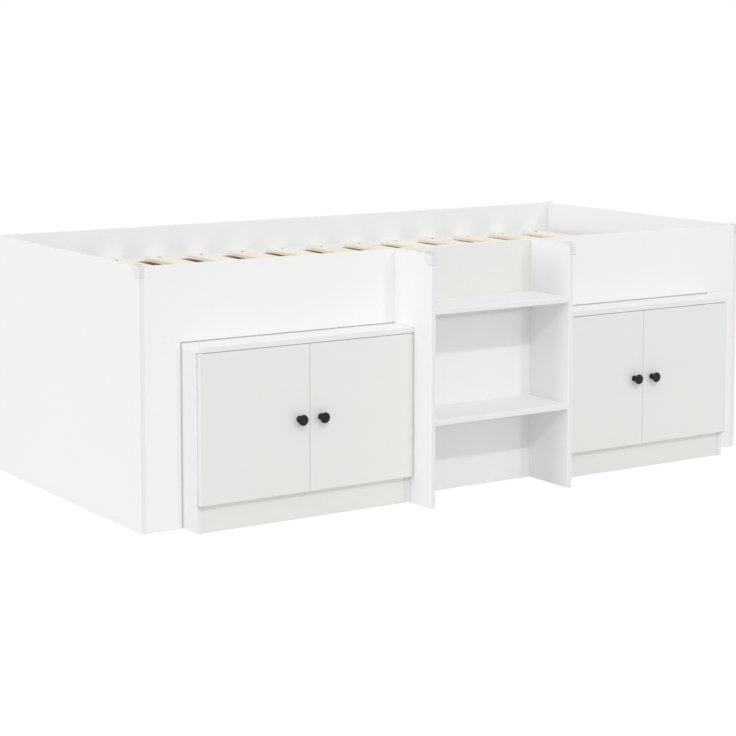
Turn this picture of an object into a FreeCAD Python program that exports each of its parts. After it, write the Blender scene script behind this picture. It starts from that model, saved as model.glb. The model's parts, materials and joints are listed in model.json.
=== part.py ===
import FreeCAD, Part
import os
import re
import Sketcher
from FreeCAD import Placement, Rotation, Vector

# Low cabin bed in melamine board: a slatted bed between two end panels, an open step shelf in the middle of
# its front and a two-door cabinet on each side of the shelf.
# Millimetres. X runs along the bed, Y from its front to its back and Z up from the floor. The origin lies on
# the floor, in the middle of the box that the whole bed fills.

SIZES = {
    # bed frame
    "bed_length": (2030, "length over the end panels"),
    "bed_width": (930, "depth of the end panels"),
    "panel_height": (685, "height of the end panels and of the rails' top edge"),
    "board": (15, "thickness of every melamine board"),
    "edge_ease": (1, "bevel of the banded board edges"),
    "rail_height": (201, "height of the front and rear rail"),
    "stile_width": (103, "width of the upright boards under the rails"),
    # slatted base
    "mattress_drop": (92, "from the rails' top edge down to the slats"),
    "slat_count": (14, "slats across the bed"),
    "slat_width": (70, "width of a slat"),
    "slat_thickness": (12, "thickness of a slat"),
    "slat_ease": (2, "bevel of a slat's long edges"),
    "slat_play": (3, "gap between a slat's end and the rail"),
    "batten_width": (24, "depth of a batten on the rail's inner face"),
    "batten_height": (30, "height of a batten"),
    "batten_play": (1, "gap between a batten's end and the end panel"),
    # step shelf
    "shelf_width": (480, "width over the step shelf's sides"),
    "shelf_depth": (175, "depth of the step shelf in front of the bed"),
    "upper_shelf_top": (538, "floor to the upper step"),
    "lower_shelf_top": (238, "floor to the lower step"),
    # cabinets
    "cabinet_proud": (93, "from the bed's front to the door's front"),
    "cabinet_depth": (450, "depth of a cabinet over its door and back"),
    "stile_gap": (3, "between a cabinet and the stile beside it"),
    "shelf_gap": (0.4, "between a cabinet and the step shelf"),
    "rail_gap": (2.5, "between a cabinet's top and the front rail"),
    "plinth_height": (70, "height of the plinth"),
    "plinth_setback": (2, "plinth behind the front edges of the sides"),
    "back_board": (3, "thickness of the cabinet's back"),
    "inner_shelf_top": (275, "floor to the cabinet's inner shelf"),
    "inner_shelf_setback": (20, "inner shelf behind the front edges of the sides"),
    # doors and their pivots
    "door_reveal": (2, "door's edge inside the cabinet's outer face"),
    "door_meeting": (1.5, "between the two doors of a cabinet"),
    "door_head_gap": (1.5, "above a door"),
    "door_foot_gap": (3.5, "below a door"),
    "door_back_gap": (2.2, "between a door and the cabinet's front edges"),
    "pivot_inset": (6.5, "from the door's edge to its pivot"),
    "pivot_depth": (6, "from the door's front to its pivot"),
    "pivot_radius": (2.5, "pivot pin"),
    "pivot_length": (10, "pivot pin above its tongue"),
    "pivot_clearance": (0.05, "pin in bush, all round"),
    "hinge_play": (0.2, "between bush and bracket, along the pin"),
    "bracket_metal": (2, "thickness of the bracket's strip"),
    "bracket_width": (11, "width of the bracket's strip"),
    "tongue_cover": (2, "from the door's front to the tip of a bracket's tongue"),
    "bracket_leg": (40, "height of the bracket's leg"),
    "bush_wall": (1.5, "wall of the bush's sleeve"),
    "bush_length": (12, "bush in the door's end"),
    "bush_proud": (0.8, "bush standing out of the door's end"),
    "strike_width": (18, "strike plate"),
    "strike_height": (8, "strike plate"),
    "strike_metal": (1.5, "strike plate"),
    "catch_width": (46, "magnetic catch"),
    "catch_depth": (15, "magnetic catch"),
    "catch_height": (13, "magnetic catch"),
    "catch_ease": (2, "bevel of the catch's edges"),
    "catch_play": (0.3, "between catch and strike plate"),
    # knobs
    "knob_inset": (32.25, "from the door's meeting edge to the knob"),
    "knob_height": (25, "knob in front of the door"),
    "knob_head_radius": (14.5, "knob's face"),
    "knob_head_depth": (8, "knob's head"),
    "knob_neck_radius": (5.5, "knob's neck"),
    "knob_base_radius": (8.5, "knob's foot on the door"),
    "knob_base_depth": (2, "knob's foot"),
    "knob_rim": (0.8, "bevel round the knob's face"),
    # corner guards
    "guard_wall": (5, "thickness of a corner guard"),
    "guard_leg": (28, "reach of a corner guard along the edges"),
    "guard_lip": (9, "width that is left at the end of its side"),
    "guard_ease": (3.5, "rounding of its outer corner"),
    # fits
    "fit_clearance": (0.1, "round a bush in its bore"),
}

doc = FreeCAD.newDocument("cabin_bed")
sheet = doc.addObject("Spreadsheet::Sheet", "sizes")
for row, (alias, (value, note)) in enumerate(SIZES.items(), 1):
    sheet.set(f"A{row}", alias)
    sheet.set(f"B{row}", str(value))
    sheet.set(f"C{row}", note)
    sheet.setAlias(f"B{row}", alias)
doc.recompute()

# Planes that several pieces share, as expressions of the sheet's sizes
INSIDE = "(bed_length / 2 - board)"
FRONT = "((shelf_depth - bed_width) / 2)"
REAR = "((shelf_depth + bed_width) / 2)"
RAIL_FOOT = "(panel_height - rail_height)"
RAIL_FACE = f"({FRONT} + board)"
SLAT_TOP = "(panel_height - mattress_drop)"
SLAT_FOOT = f"({SLAT_TOP} - slat_thickness)"
SLAT_PITCH = "(2 * (bed_length / 2 - board) / slat_count)"
STEP_FRONT = f"({FRONT} - shelf_depth)"
DOOR_FRONT = f"({FRONT} - cabinet_proud)"
DOOR_BACK = f"({DOOR_FRONT} + board)"
CASE_FRONT = f"({DOOR_BACK} + door_back_gap)"
CASE_BACK = f"({DOOR_FRONT} + cabinet_depth - back_board)"
CASE_TOP = f"({RAIL_FOOT} - rail_gap)"
TOP_UNDERSIDE = f"({CASE_TOP} - board)"
DOOR_TOP = f"({TOP_UNDERSIDE} - door_head_gap)"
DOOR_FOOT = "(plinth_height + door_foot_gap)"
PIVOT_Y = f"({DOOR_FRONT} + pivot_depth)"
TONGUE_GAP = "(bush_proud + hinge_play)"
TONGUE_LOW = f"({DOOR_FOOT} - {TONGUE_GAP})"
TONGUE_HIGH = f"({DOOR_TOP} + {TONGUE_GAP})"
PIVOT_TO_CASE = "(board - pivot_depth + door_back_gap)"
BUSH_RADIUS = "(pivot_radius + pivot_clearance + bush_wall)"

TOWARDS_FRONT = Rotation(Vector(1, 0, 0), 90)
UPRIGHT = Rotation()
UPSIDE_DOWN = Rotation(Vector(0, 1, 0), 180)

nodes = []


def cell(text):
    """Expression with each size's name turned into its cell in the sheet."""
    words = re.compile("[a-z][a-z_]*[a-z]")
    return words.sub(lambda word: f"sizes.{word[0]}" if word[0] in SIZES else word[0], text)


def number(text):
    """Value of an expression of the sheet's sizes."""
    return float(sheet.evalExpression(cell(text)))


def node(name, thing):
    """Hand a finished object over as the sub-part of that name."""
    thing.Label = name
    nodes.append(thing)
    return thing


def place(thing, x, y, z, rotation=UPRIGHT):
    """Turn an object and tie its place to the sheet."""
    thing.Placement = Placement(Vector(), rotation)
    for letter, text in zip("xyz", (x, y, z)):
        thing.setExpression(f"Placement.Base.{letter}", cell(text))
    return thing


def block(name, x, y, z):
    """Square-edged piece between two planes on each axis."""
    blank = doc.addObject("Part::Box", f"{name}_blank")
    for size, (low, high) in zip(("Length", "Width", "Height"), (x, y, z)):
        blank.setExpression(size, cell(f"({high}) - ({low})"))
    return place(blank, x[0], y[0], z[0])


def board(name, x, y, z, ease="edge_ease", longer_than="board"):
    """Block whose edges longer than a given length are bevelled, as banded board edges are."""
    blank = block(name, x, y, z)
    doc.recompute()
    eased = doc.addObject("Part::Chamfer", f"{name}_eased")
    eased.Base = blank
    bevel = number(ease)
    shortest = number(longer_than) * 1.001
    eased.Edges = [(i, bevel, bevel) for i, edge in enumerate(blank.Shape.Edges, 1) if edge.Length > shortest]
    return eased


def drum(name, radius, length, x, y, z, rotation=UPRIGHT):
    """Cylinder whose axis starts at a point."""
    cylinder = doc.addObject("Part::Cylinder", name)
    cylinder.setExpression("Radius", cell(radius))
    cylinder.setExpression("Height", cell(length))
    return place(cylinder, x, y, z, rotation)


def copy(name, source, x, y, z, rotation=UPRIGHT):
    """Another of the same piece, somewhere else."""
    link = doc.addObject("App::Link", name)
    link.LinkedObject = source
    return place(link, x, y, z, rotation)


def group(name, things):
    """Separate solids that share one sub-part."""
    together = doc.addObject("Part::Compound", f"{name}_group")
    together.Links = things
    return together


def cut(name, base, tools):
    """Base without what the tools fill."""
    result = doc.addObject("Part::Cut", f"{name}_cut")
    result.Base = base
    result.Tool = group(f"{name}_tools", tools)
    return result


def mirror(name, source, normal, middle):
    """Mirror image of a piece about an upright plane through a point."""
    image = doc.addObject("Part::Mirroring", name)
    image.Source = source
    image.Normal = normal
    image.Base = middle
    return image


def sketch(body, name, role):
    """Empty sketch on one of the body's own origin planes."""
    drawing = body.newObject("Sketcher::SketchObject", f"{body.Name}_{name}")
    plane = next(feature for feature in body.Origin.OriginFeatures if feature.Role == role)
    drawing.AttachmentSupport = [(plane, "")]
    drawing.MapMode = "FlatFace"
    return drawing


def outline(drawing, points):
    """Closed outline through corners given as pairs of expressions, each corner tied to the sheet."""
    spots = [Vector(number(across), number(up), 0) for across, up in points]
    following = spots[1:] + spots[:1]
    for start, end in zip(spots, following):
        drawing.addGeometry(Part.LineSegment(start, end), False)
    for i in range(len(points)):
        drawing.addConstraint(Sketcher.Constraint("Coincident", i, 2, (i + 1) % len(points), 1))
    for i, (texts, spot) in enumerate(zip(points, spots)):
        for kind, axis, text, value in zip(("DistanceX", "DistanceY"), (-2, -1), texts, spot):
            if text == "0":
                drawing.addConstraint(Sketcher.Constraint("PointOnObject", i, 1, axis))
            else:
                added = drawing.addConstraint(Sketcher.Constraint(kind, -1, 1, i, 1, value))
                drawing.setExpression(f"Constraints[{added}]", cell(text))
    return drawing


def turned(name, points):
    """Body of revolution about Z from a profile of radius and height."""
    body = doc.addObject("PartDesign::Body", name)
    turn = body.newObject("PartDesign::Revolution", f"{name}_turn")
    turn.Profile = outline(sketch(body, "profile", "XZ_Plane"), points)
    turn.ReferenceAxis = (turn.Profile[0], ["V_Axis"])
    turn.Angle = 360
    doc.recompute()
    return body


def dress_edges(body, kind, measure, size, wanted):
    """Fillet or chamfer on the edges of the body's last feature that a test picks."""
    base = body.Tip
    names = [f"Edge{i}" for i, edge in enumerate(base.Shape.Edges, 1) if wanted(edge)]
    dressed = body.newObject(f"PartDesign::{kind}", f"{body.Name}_{kind.lower()}")
    dressed.Base = (base, names)
    dressed.setExpression(measure, cell(size))
    doc.recompute()


def pivot_bracket():
    """Angle strip with a pin: its tongue lies under a door's end, its leg in the side's front edge.

    The pin stands on the origin. The tongue's upper face is at height zero.
    """
    body = doc.addObject("PartDesign::Body", "pivot_bracket")
    leg_back = f"({PIVOT_TO_CASE} + bracket_metal)"
    tip = "(pivot_depth - tongue_cover)"
    strip = body.newObject("PartDesign::Pad", "bracket_strip")
    strip.Profile = outline(sketch(body, "angle", "YZ_Plane"), [
        (f"-{tip}", "0"),
        (PIVOT_TO_CASE, "0"),
        (PIVOT_TO_CASE, "bracket_leg"),
        (leg_back, "bracket_leg"),
        (leg_back, "-bracket_metal"),
        (f"-{tip}", "-bracket_metal"),
    ])
    strip.SideType = "Symmetric"
    strip.setExpression("Length", cell("bracket_width"))
    doc.recompute()
    front = -number(tip)
    dress_edges(body, "Chamfer", "Size", "bracket_width / 4",
                lambda edge: all(abs(v.Y - front) < 1e-6 for v in edge.Vertexes)
                and abs(edge.Vertexes[0].Z - edge.Vertexes[-1].Z) > 1e-6)
    pin = body.newObject("PartDesign::Pad", "bracket_pin")
    round_profile = sketch(body, "pin", "XY_Plane")
    round_profile.addGeometry(Part.Circle(Vector(), Vector(0, 0, 1), number("pivot_radius")), False)
    round_profile.addConstraint(Sketcher.Constraint("Coincident", 0, 3, -1, 1))
    added = round_profile.addConstraint(Sketcher.Constraint("Radius", 0, number("pivot_radius")))
    round_profile.setExpression(f"Constraints[{added}]", cell("pivot_radius"))
    pin.Profile = round_profile
    pin.setExpression("Length", cell("pivot_length"))
    doc.recompute()
    return body


def corner_guard():
    """Clear cap on the corner of a board: it covers the outer face, the front edge and the top.

    The board's corner is the origin, and the board lies towards +X, +Y and -Z.
    """
    body = doc.addObject("PartDesign::Body", "corner_guard")
    cap = body.newObject("PartDesign::Pad", "guard_cap")
    cap.Profile = outline(sketch(body, "cap", "XY_Plane"), [
        ("-guard_wall", "-guard_wall"),
        ("board", "-guard_wall"),
        ("board", "guard_leg"),
        ("-guard_wall", "guard_leg"),
    ])
    cap.SideType = "Two sides"
    cap.setExpression("Length", cell("guard_wall"))
    cap.setExpression("Length2", cell("guard_leg"))
    doc.recompute()
    whole = cap.Shape.Volume
    seat = body.newObject("PartDesign::Pocket", "guard_seat")
    seat.Profile = outline(sketch(body, "seat", "XY_Plane"), [
        ("0", "0"),
        ("2 * board", "0"),
        ("2 * board", "2 * guard_leg"),
        ("0", "2 * guard_leg"),
    ])
    seat.setExpression("Length", cell("2 * guard_leg"))
    doc.recompute()
    slope = body.newObject("PartDesign::Pocket", "guard_slope")
    slope.Profile = outline(sketch(body, "slope", "YZ_Plane"), [
        ("guard_leg", "-guard_lip"),
        ("2 * guard_leg", "-guard_lip"),
        ("2 * guard_leg", "-2 * guard_leg"),
        ("guard_lip", "-2 * guard_leg"),
        ("guard_lip", "-guard_leg"),
    ])
    slope.SideType = "Symmetric"
    slope.setExpression("Length", cell("4 * board"))
    doc.recompute()
    if not slope.Shape.Volume < seat.Shape.Volume < whole:
        raise RuntimeError("a cut of the corner guard removed nothing")
    outer = Vector(-number("guard_wall"), -number("guard_wall"), number("guard_wall"))
    dress_edges(body, "Fillet", "Radius", "guard_ease",
                lambda edge: any(v.Point.isEqual(outer, 1e-6) for v in edge.Vertexes))
    return body


def knob():
    """Mushroom knob standing on the origin."""
    head_foot = "(knob_height - knob_head_depth)"
    return turned("knob", [
        ("0", "0"),
        ("knob_base_radius", "0"),
        ("knob_base_radius", "knob_base_depth"),
        ("knob_neck_radius", "knob_base_depth"),
        ("knob_neck_radius", head_foot),
        ("knob_head_radius", head_foot),
        ("knob_head_radius", "knob_height - knob_rim"),
        ("knob_head_radius - knob_rim", "knob_height"),
        ("0", "knob_height"),
    ])


def pivot_bush():
    """Sleeve let into the end of a door, which lies on the origin's plane. The sleeve stands proud of it."""
    bore = "(pivot_radius + pivot_clearance)"
    return turned("pivot_bush", [
        (bore, "bush_proud"),
        (BUSH_RADIUS, "bush_proud"),
        (BUSH_RADIUS, "-bush_length"),
        (bore, "-bush_length"),
    ])


def slatted_base():
    """Slats on two battens along the rails."""
    slat_front = f"({RAIL_FACE} + slat_play)"
    slat_rear = f"({REAR} - board - slat_play)"
    slats = []
    for i in range(int(number("slat_count"))):
        x = f"(({i} + 0.5) * {SLAT_PITCH} - {INSIDE})"
        slats.append(board(f"slat_{i}", (f"{x} - slat_width / 2", f"{x} + slat_width / 2"),
                           (slat_front, slat_rear), (SLAT_FOOT, SLAT_TOP), "slat_ease", "slat_width"))
    node("slats", group("slats", slats))
    along = (f"-{INSIDE} + batten_play", f"{INSIDE} - batten_play")
    heights = (f"{SLAT_FOOT} - batten_height", SLAT_FOOT)
    for end, across in (("front", (RAIL_FACE, f"{RAIL_FACE} + batten_width")),
                        ("rear", (f"{REAR} - board - batten_width", f"{REAR} - board"))):
        node(f"{end}_batten", board(f"{end}_batten", along, across, heights, "edge_ease", "batten_height"))


def bed_frame():
    """End panels, rails and the uprights under the rails."""
    for side, x in (("left", ("-bed_length / 2", f"-{INSIDE}")), ("right", (INSIDE, "bed_length / 2"))):
        node(f"{side}_end_panel", board(f"{side}_end_panel", x, (FRONT, REAR), ("0", "panel_height")))
    front_plane = (FRONT, RAIL_FACE)
    rear_plane = (f"{REAR} - board", REAR)
    under_rail = ("0", RAIL_FOOT)
    stile_edge = f"({INSIDE} - stile_width)"
    for end, plane in (("front", front_plane), ("rear", rear_plane)):
        node(f"{end}_rail", board(f"{end}_rail", (f"-{INSIDE}", INSIDE), plane, (RAIL_FOOT, "panel_height")))
    for name, x, plane in (("front_left_stile", (f"-{INSIDE}", f"-{stile_edge}"), front_plane),
                           ("front_right_stile", (stile_edge, INSIDE), front_plane),
                           ("front_centre_panel", ("-shelf_width / 2", "shelf_width / 2"), front_plane),
                           ("rear_centre_leg", ("-stile_width / 2", "stile_width / 2"), rear_plane)):
        node(name, board(name, x, plane, under_rail))


def step_shelf():
    """Open shelf in front of the bed: two sides that reach the rail's top edge and two steps between them."""
    inner = "(shelf_width / 2 - board)"
    depth = (STEP_FRONT, FRONT)
    for side, x in (("left", ("-shelf_width / 2", f"-{inner}")), ("right", (inner, "shelf_width / 2"))):
        node(f"shelf_{side}_side", board(f"shelf_{side}_side", x, depth, ("0", "panel_height")))
    for name in ("upper_shelf", "lower_shelf"):
        node(name, board(name, (f"-{inner}", inner), depth, (f"{name}_top - board", f"{name}_top")))


def corner_guards():
    """Guards on the four top corners of the bed and on the two top front corners of the step shelf."""
    guard = corner_guard()
    lengthwise = Vector(1, 0, 0)
    crosswise = Vector(0, 1, 0)
    bed_middle = Vector(0, number(f"({FRONT} + {REAR}) / 2"), 0)
    bed_left = group("guard_bed", [copy("guard_bed_left", guard, "-bed_length / 2", FRONT, "panel_height")])
    front_pair = [bed_left, mirror("guard_bed_right", bed_left, lengthwise, bed_middle)]
    rear_pair = [mirror(f"{front.Name}_rear", front, crosswise, bed_middle) for front in front_pair]
    node("bed_corner_guards", group("bed_corner_guards", front_pair + rear_pair))
    step_left = group("guard_step", [copy("guard_step_left", guard, "-shelf_width / 2", STEP_FRONT,
                                          "panel_height")])
    step_right = mirror("guard_step_right", step_left, lengthwise, bed_middle)
    node("shelf_corner_guards", group("shelf_corner_guards", [step_left, step_right]))


def cabinet(side, low, high, fixed):
    """Cabinet between two planes along X. The small pieces of both cabinets are gathered in fixed."""
    name = f"{side}_cabinet"
    inner = (f"({low} + board)", f"({high} - board)")
    depth = (CASE_FRONT, CASE_BACK)
    middle = f"(({low} + {high}) / 2)"
    hinge_x = {
        "left": f"({low} + door_reveal + pivot_inset)",
        "right": f"({high} - door_reveal - pivot_inset)",
    }

    node(f"{name}_shelf", board(f"{name}_shelf", inner, (f"{CASE_FRONT} + inner_shelf_setback", CASE_BACK),
                                ("inner_shelf_top - board", "inner_shelf_top")))
    upper_tongues = []
    for hand, x in (("left", (low, inner[0])), ("right", (inner[1], high))):
        seats = []
        for z, turn in ((TONGUE_LOW, UPRIGHT), (TONGUE_HIGH, UPSIDE_DOWN)):
            spot = (hinge_x[hand], PIVOT_Y, z, turn)
            fixed["pivot_brackets"].append(copy(f"bracket_{name}_{hand}", bracket, *spot))
            seats.append(copy(f"bracket_seat_{name}_{hand}", bracket_seat, *spot))
        upper_tongues.append(copy(f"tongue_{name}_{hand}", bracket, hinge_x[hand], PIVOT_Y, TONGUE_HIGH,
                                  UPSIDE_DOWN))
        side_board = board(f"{name}_{hand}_side", x, depth, ("0", TOP_UNDERSIDE))
        node(f"{name}_{hand}_side", cut(f"{name}_{hand}_side", side_board, seats))
    top_board = board(f"{name}_top", (low, high), (DOOR_FRONT, f"{CASE_BACK} + back_board"),
                      (TOP_UNDERSIDE, CASE_TOP))
    node(f"{name}_top", cut(f"{name}_top", top_board, upper_tongues))
    node(f"{name}_bottom", block(f"{name}_bottom", inner, depth, ("plinth_height", "plinth_height + board")))
    plinth_front = f"({CASE_FRONT} + plinth_setback)"
    node(f"{name}_plinth", board(f"{name}_plinth", inner, (plinth_front, f"{plinth_front} + board"),
                                 ("0", "plinth_height")))
    node(f"{name}_back", block(f"{name}_back", (low, high), (CASE_BACK, f"{CASE_BACK} + back_board"),
                               ("plinth_height", TOP_UNDERSIDE)))
    catch_front = f"({DOOR_BACK} + strike_metal + catch_play)"
    fixed["magnetic_catches"].append(board(
        f"{name}_catch", (f"{middle} - catch_width / 2", f"{middle} + catch_width / 2"),
        (catch_front, f"{catch_front} + catch_depth"), (f"{TOP_UNDERSIDE} - catch_height", TOP_UNDERSIDE),
        "catch_ease", "catch_depth"))
    half_meeting = "door_meeting / 2"
    door(f"{name}_left", (f"{low} + door_reveal", f"{middle} - {half_meeting}"), hinge_x["left"],
         f"({middle} - {half_meeting} - knob_inset)", (f"{middle} - catch_width / 2",
                                                       f"{middle} - catch_width / 2 + strike_width"))
    door(f"{name}_right", (f"{middle} + {half_meeting}", f"{high} - door_reveal"), hinge_x["right"],
         f"({middle} + {half_meeting} + knob_inset)", (f"{middle} + catch_width / 2 - strike_width",
                                                       f"{middle} + catch_width / 2"))


def door(name, x, pivot_x, knob_x, strike_x):
    """Door with the bores for its bushes, and the pieces that swing with it."""
    middle_z = f"(({DOOR_TOP} + {DOOR_FOOT}) / 2)"
    bore = f"{BUSH_RADIUS} + fit_clearance"
    bore_depth = "bush_length + fit_clearance"
    blank = board(f"{name}_door", x, (DOOR_FRONT, DOOR_BACK), (DOOR_FOOT, DOOR_TOP))
    node(f"{name}_door", cut(f"{name}_door", blank, [
        drum(f"{name}_bore_low", bore, bore_depth, pivot_x, PIVOT_Y, DOOR_FOOT),
        drum(f"{name}_bore_high", bore, bore_depth, pivot_x, PIVOT_Y, DOOR_TOP, UPSIDE_DOWN),
    ]))
    node(f"{name}_knob", copy(f"{name}_knob_copy", knob_body, knob_x, DOOR_FRONT, middle_z, TOWARDS_FRONT))
    node(f"{name}_pivot_bushes", group(f"{name}_pivot_bushes", [
        copy(f"{name}_bush_low", bush, pivot_x, PIVOT_Y, DOOR_FOOT, UPSIDE_DOWN),
        copy(f"{name}_bush_high", bush, pivot_x, PIVOT_Y, DOOR_TOP),
    ]))
    strike_z = f"({TOP_UNDERSIDE} - catch_height / 2 - strike_height / 2)"
    strike_y = (DOOR_BACK, f"{DOOR_BACK} + strike_metal")
    node(f"{name}_strike_plate", board(f"{name}_strike_plate", strike_x, strike_y,
                                       (strike_z, f"{strike_z} + strike_height"), "strike_metal / 4",
                                       "strike_metal"))


def cabinets():
    """The two cabinets and the small pieces that they share as groups."""
    fixed = {name: [] for name in ("pivot_brackets", "magnetic_catches")}
    outer = f"({INSIDE} - stile_width - stile_gap)"
    near = "(shelf_width / 2 + shelf_gap)"
    cabinet("left", f"(-{outer})", f"(-{near})", fixed)
    cabinet("right", near, outer, fixed)
    for name, things in fixed.items():
        node(name, group(name, things))


def seat_of_bracket():
    """The space that a bracket's leg fills in the front edge of a cabinet's side, open towards the front."""
    body = doc.addObject("PartDesign::Body", "bracket_seat")
    space = body.newObject("PartDesign::Pad", "bracket_seat_space")
    space.Profile = outline(sketch(body, "section", "YZ_Plane"), [
        (f"{PIVOT_TO_CASE} - bracket_metal", "-bracket_metal"),
        (f"{PIVOT_TO_CASE} + bracket_metal", "-bracket_metal"),
        (f"{PIVOT_TO_CASE} + bracket_metal", "bracket_leg"),
        (f"{PIVOT_TO_CASE} - bracket_metal", "bracket_leg"),
    ])
    space.SideType = "Symmetric"
    space.setExpression("Length", cell("bracket_width"))
    doc.recompute()
    return body


bracket = pivot_bracket()
bracket_seat = seat_of_bracket()
knob_body = knob()
bush = pivot_bush()

bed_frame()
slatted_base()
step_shelf()
corner_guards()
cabinets()
doc.recompute()

for thing in doc.Objects:
    if "Invalid" in thing.State or "Error" in thing.State:
        raise RuntimeError(f"{thing.Label} failed: {thing.State}")
for part in nodes:
    if part.Shape.isNull() or not part.Shape.isValid() or not part.Shape.Solids:
        raise RuntimeError(f"{part.Label} has no valid solid")
os.makedirs("parts", exist_ok=True)
for part in nodes:
    part.Shape.exportStep(f"parts/{part.Label}.step")
print(f"{len(nodes)} sub-parts, {sum(len(part.Shape.Solids) for part in nodes)} solids")
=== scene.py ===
# %% [markdown]
# A low loft bed in white board, dressed for its picture. The boards, slats, guards and hinges come from the packed
# model, which is never moved. This script gives every one of them a finish, adds the small fittings that are too fine
# for the model, and sets the light and the camera.

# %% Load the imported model
import json
import math

import bpy
import numpy as np
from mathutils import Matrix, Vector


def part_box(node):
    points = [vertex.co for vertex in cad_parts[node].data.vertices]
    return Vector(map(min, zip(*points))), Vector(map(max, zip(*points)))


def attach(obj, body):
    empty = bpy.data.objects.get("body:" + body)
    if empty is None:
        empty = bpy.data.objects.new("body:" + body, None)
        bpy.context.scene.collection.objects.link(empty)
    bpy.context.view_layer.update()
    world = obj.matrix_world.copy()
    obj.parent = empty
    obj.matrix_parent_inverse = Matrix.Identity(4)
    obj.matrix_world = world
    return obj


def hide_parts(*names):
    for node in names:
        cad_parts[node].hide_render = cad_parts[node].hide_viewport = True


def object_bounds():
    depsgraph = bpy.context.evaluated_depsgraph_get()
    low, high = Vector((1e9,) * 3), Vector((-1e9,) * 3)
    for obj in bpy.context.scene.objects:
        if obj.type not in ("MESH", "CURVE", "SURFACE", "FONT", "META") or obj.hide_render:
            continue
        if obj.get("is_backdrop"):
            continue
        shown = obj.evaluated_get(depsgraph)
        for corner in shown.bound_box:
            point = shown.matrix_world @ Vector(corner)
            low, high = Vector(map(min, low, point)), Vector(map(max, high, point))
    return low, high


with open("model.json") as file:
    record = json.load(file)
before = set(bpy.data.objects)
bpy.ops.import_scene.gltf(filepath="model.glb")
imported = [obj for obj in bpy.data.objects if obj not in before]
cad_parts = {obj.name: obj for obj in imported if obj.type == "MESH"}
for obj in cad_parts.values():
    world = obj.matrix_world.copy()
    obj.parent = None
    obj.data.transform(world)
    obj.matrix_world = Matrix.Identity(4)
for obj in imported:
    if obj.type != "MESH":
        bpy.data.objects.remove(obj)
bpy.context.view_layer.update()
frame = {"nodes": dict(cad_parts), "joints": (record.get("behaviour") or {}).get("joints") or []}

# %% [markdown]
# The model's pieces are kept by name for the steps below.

nodes = frame["nodes"]

# %% [markdown]
# The camera stands to the left of the bed's front, a little above its top edge, with a long lens. A view camera would
# keep every upright edge upright by shifting its film. A small shift does part of that here and a slight tilt does the
# rest, because a large shift would push the bed out of the other views. Between white boards light goes to and fro many
# times before it fades, so it is followed for more bounces than usual.

# %% Camera
CAMERA_PLACE = (-3.3201, -4.9878, 1.2925)
CAMERA_YAW = 32.9946
CAMERA_TILT = 5.4721
CAMERA_LENS = 100.42
CAMERA_SHIFT = -0.20
SENSOR_WIDTH = 36.0
DIFFUSE_BOUNCES = 12

lens = bpy.data.cameras.new("camera")
lens.lens, lens.sensor_width, lens.shift_y = CAMERA_LENS, SENSOR_WIDTH, CAMERA_SHIFT
camera = bpy.data.objects.new("camera", lens)
camera.location = CAMERA_PLACE
camera.rotation_euler = (math.radians(90 - CAMERA_TILT), 0, -math.radians(CAMERA_YAW))
bpy.context.scene.collection.objects.link(camera)
bpy.context.scene.camera = camera
bpy.context.scene.cycles.diffuse_bounces = DIFFUSE_BOUNCES
bpy.context.scene.view_settings.view_transform = "Standard"
print("camera", CAMERA_PLACE, "lens", CAMERA_LENS)

# %% [markdown]
# Node trees are long to write by hand, so a few helpers come first. The main one puts a node into a tree with its
# sockets filled, either by a value or by another node's output. The last one makes an empty node group with named
# sockets.


# %% Helpers for node trees
def put(tree, kind, inputs=None, **properties):
    """A new node in a tree. inputs maps a socket's name or number to a value or to another node's output."""
    node = tree.nodes.new(kind)
    for name, value in properties.items():
        setattr(node, name, value)
    for socket, value in (inputs or {}).items():
        if isinstance(value, bpy.types.NodeSocket):
            tree.links.new(value, node.inputs[socket])
        else:
            node.inputs[socket].default_value = value
    return node


def math_of(tree, operation, *values):
    """Output of a Math node on up to three values or sockets."""
    return put(tree, "ShaderNodeMath", dict(enumerate(values)), operation=operation).outputs[0]


def spread(tree, value, low, high):
    """A value from 0 to 1 carried to the range from low to high."""
    return put(tree, "ShaderNodeMapRange", {"Value": value, "To Min": low, "To Max": high}).outputs["Result"]


def mixed(tree, share, first, second):
    """Two colours mixed by a share, which is that of the second one."""
    node = put(tree, "ShaderNodeMix", data_type="RGBA")
    for socket, value in (("Factor", share), ("A", first), ("B", second)):
        target = next(s for s in node.inputs if s.name == socket and (socket == "Factor" or s.type == "RGBA"))
        if isinstance(value, bpy.types.NodeSocket):
            tree.links.new(value, target)
        else:
            target.default_value = value
    return next(s for s in node.outputs if s.type == "RGBA")


def scaled(tree, colour, factor):
    """A colour times a factor."""
    return put(tree, "ShaderNodeVectorMath", {0: colour, "Scale": factor}, operation="SCALE").outputs[0]


def seen_directly(tree):
    """1 where the camera looks straight, in a gloss or through clear plastic, and 0 for light that falls on the bed."""
    rays = put(tree, "ShaderNodeLightPath").outputs
    mirrored = math_of(tree, "MAXIMUM", rays["Is Glossy Ray"], rays["Is Transmission Ray"])
    return math_of(tree, "MAXIMUM", rays["Is Camera Ray"], mirrored)


def node_group(name, inputs, outputs):
    """Empty shader group. inputs maps a name to its socket type and usual value, outputs a name to its type."""
    group = bpy.data.node_groups.new(name, "ShaderNodeTree")
    for title, (kind, value) in inputs.items():
        group.interface.new_socket(title, in_out="INPUT", socket_type=f"NodeSocket{kind}").default_value = value
    for title, kind in outputs.items():
        group.interface.new_socket(title, in_out="OUTPUT", socket_type=f"NodeSocket{kind}")
    return group, put(group, "NodeGroupInput").outputs, put(group, "NodeGroupOutput")


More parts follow.
